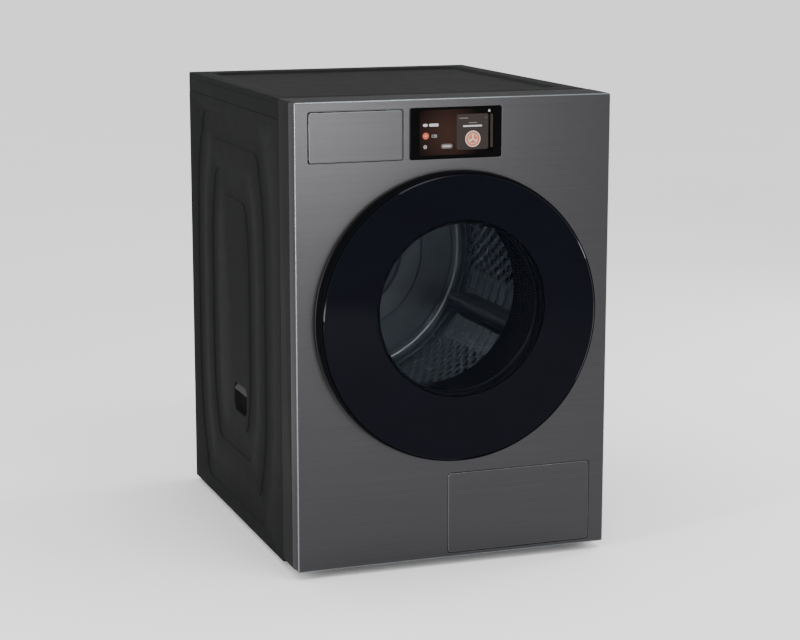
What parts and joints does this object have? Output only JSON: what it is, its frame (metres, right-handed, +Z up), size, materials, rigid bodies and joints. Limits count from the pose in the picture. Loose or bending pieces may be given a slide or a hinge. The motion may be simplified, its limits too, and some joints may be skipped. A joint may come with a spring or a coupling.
{
  "type": "clothes dryer",
  "caption": "Free-standing heat-pump clothes dryer with a large round glass door, a touch display, a water drawer, a service hatch and a belt-driven drum.",
  "frame": {"origin": "on the floor, under the centre of the bounding box", "axes": "+X to the right of someone facing the front, +Y to the back, +Z up"},
  "size_m": [0.686, 0.888, 0.984],
  "materials": {
    "front_steel": "fine horizontal brushing, dark graphite, satin",
    "side_sheet": "near-black satin paint",
    "top_sheet": "charcoal satin paint",
    "zinc_steel": "zinc-coated, dull",
    "dark_plastic": "fine moulded grain",
    "grey_plastic": "fine moulded grain",
    "white_plastic": "smooth moulded",
    "door_pane": "polished, dark tinted, clearer in the middle",
    "display_pane": "polished black glass over a lit screen",
    "bowl_glass": "polished",
    "rim_dark": "dark, softly glossy",
    "rubber": "matt",
    "felt": "pressed felt",
    "stainless": "bright stainless sheet",
    "fin_aluminium": "plain",
    "black_paint": "black enamel"
  },
  "bodies": {
    "cabinet": {"base_pan": "dark_plastic", "left_side_panel": "side_sheet", "right_side_panel": "side_sheet", "left_grip_cup": "dark_plastic", "right_grip_cup": "dark_plastic", "back_panel": "zinc_steel", "cord_gland": "dark_plastic", "top_cover": "top_sheet", "front_frame": "dark_plastic", "front_panel": "front_steel", "front_bulkhead": "grey_plastic", "drum_felt_seal": "felt", "door_hinge_bracket": "zinc_steel", "door_hinge_pin": "zinc_steel", "door_catch": "dark_plastic", "rear_bearing": "fin_aluminium", "rear_air_duct": "grey_plastic", "drive_belt": "rubber", "drive_motor": "black_paint", "blower_housing": "grey_plastic", "evaporator": "fin_aluminium", "condenser": "fin_aluminium", "compressor": "black_paint", "fan_shroud": "dark_plastic", "drain_pump": "dark_plastic", "tank_housing": "grey_plastic", "display_glass": "display_pane", "display_housing": "dark_plastic", "service_frame": "dark_plastic", "inner_service_cover": "grey_plastic"},
    "door": {"door_glass": "door_pane", "door_rim": "rim_dark", "door_frame": "dark_plastic", "door_bowl": "bowl_glass", "door_seal": "rubber"},
    "drum": {"drum_shell": "stainless", "drum_back": "stainless", "lifter_1": "grey_plastic", "lifter_2": "grey_plastic", "lifter_3": "grey_plastic", "drum_shaft": "zinc_steel"},
    "motor_rotor": {"motor_pulley": "zinc_steel", "blower_wheel": "grey_plastic"},
    "tension_arm": {"tension_arm": "zinc_steel"},
    "idler": {"idler_pulley": "white_plastic"},
    "front_roller_left": {"front_roller_left": "rubber"},
    "front_roller_right": {"front_roller_right": "rubber"},
    "cooling_fan": {"cooling_fan": "dark_plastic"},
    "water_drawer": {"drawer_front": "front_steel", "water_tank": "white_plastic", "tank_lid": "grey_plastic"},
    "lint_filter": {"lint_filter": "white_plastic"},
    "service_cover": {"service_cover": "front_steel"},
    "lock_lever_1": {"lock_lever_1": "white_plastic"},
    "lock_lever_2": {"lock_lever_2": "white_plastic"},
    "foot_1": {"foot_1": "rubber"},
    "foot_2": {"foot_2": "rubber"},
    "foot_3": {"foot_3": "rubber"},
    "foot_4": {"foot_4": "rubber"}
  },
  "joints": [
    {"name": "door_hinge", "type": "hinge", "parent": "cabinet", "child": "door", "pos_m": [0.29, -0.432, 0.536], "axis": [0, 0, 1], "range_deg": [0, 110]},
    {"name": "drum_spin", "type": "hinge", "parent": "cabinet", "child": "drum", "pos_m": [0, 0, 0.556], "axis": [0, 1, 0], "continuous": true},
    {"name": "motor_spin", "type": "hinge", "parent": "cabinet", "child": "motor_rotor", "pos_m": [-0.215, 0.145, 0.118], "axis": [0, 1, 0], "continuous": true},
    {"name": "tension_arm_pivot", "type": "hinge", "parent": "cabinet", "child": "tension_arm", "pos_m": [-0.04, 0.167, 0.157], "axis": [0, 1, 0], "range_deg": [-15, 0], "stiffness_Nm_per_rad": 2, "springref_deg": 17.19},
    {"name": "idler_spin", "type": "hinge", "parent": "tension_arm", "child": "idler", "pos_m": [-0.092, 0.145, 0.152], "axis": [0, 1, 0], "continuous": true},
    {"name": "front_roller_left_spin", "type": "hinge", "parent": "cabinet", "child": "front_roller_left", "pos_m": [-0.19702, -0.211, 0.27462], "axis": [0, 1, 0], "continuous": true},
    {"name": "front_roller_right_spin", "type": "hinge", "parent": "cabinet", "child": "front_roller_right", "pos_m": [0.19702, -0.211, 0.27462], "axis": [0, 1, 0], "continuous": true},
    {"name": "cooling_fan_spin", "type": "hinge", "parent": "cabinet", "child": "cooling_fan", "pos_m": [0.19, 0.4165, 0.13], "axis": [0, 1, 0], "continuous": true},
    {"name": "drawer_slide", "type": "slide", "parent": "cabinet", "child": "water_drawer", "axis": [0, -1, 0], "range_m": [0, 0.42]},
    {"name": "filter_lift", "type": "slide", "parent": "cabinet", "child": "lint_filter", "axis": [0, 0, 1], "range_m": [0, 0.2]},
    {"name": "service_cover_hinge", "type": "hinge", "parent": "cabinet", "child": "service_cover", "pos_m": [0.147, -0.402, 0.0348], "axis": [1, 0, 0], "range_deg": [0, 90]},
    {"name": "lock_lever_1_turn", "type": "hinge", "parent": "cabinet", "child": "lock_lever_1", "pos_m": [0.03, -0.392, 0.113], "axis": [0, 1, 0], "range_deg": [0, 90]},
    {"name": "lock_lever_2_turn", "type": "hinge", "parent": "cabinet", "child": "lock_lever_2", "pos_m": [0.264, -0.392, 0.113], "axis": [0, 1, 0], "range_deg": [0, 90]},
    {"name": "foot_1_screw", "type": "slide", "parent": "cabinet", "child": "foot_1", "axis": [0, 0, 1], "range_m": [-0.012, 0]},
    {"name": "foot_2_screw", "type": "slide", "parent": "cabinet", "child": "foot_2", "axis": [0, 0, 1], "range_m": [-0.012, 0]},
    {"name": "foot_3_screw", "type": "slide", "parent": "cabinet", "child": "foot_3", "axis": [0, 0, 1], "range_m": [-0.012, 0]},
    {"name": "foot_4_screw", "type": "slide", "parent": "cabinet", "child": "foot_4", "axis": [0, 0, 1], "range_m": [-0.012, 0]}
  ],
  "couplings": [
    {"joint": "motor_spin", "follows": "drum_spin", "ratio": 26.5},
    {"joint": "front_roller_left_spin", "follows": "drum_spin", "ratio": -12.72},
    {"joint": "front_roller_right_spin", "follows": "drum_spin", "ratio": -12.72}
  ]
}
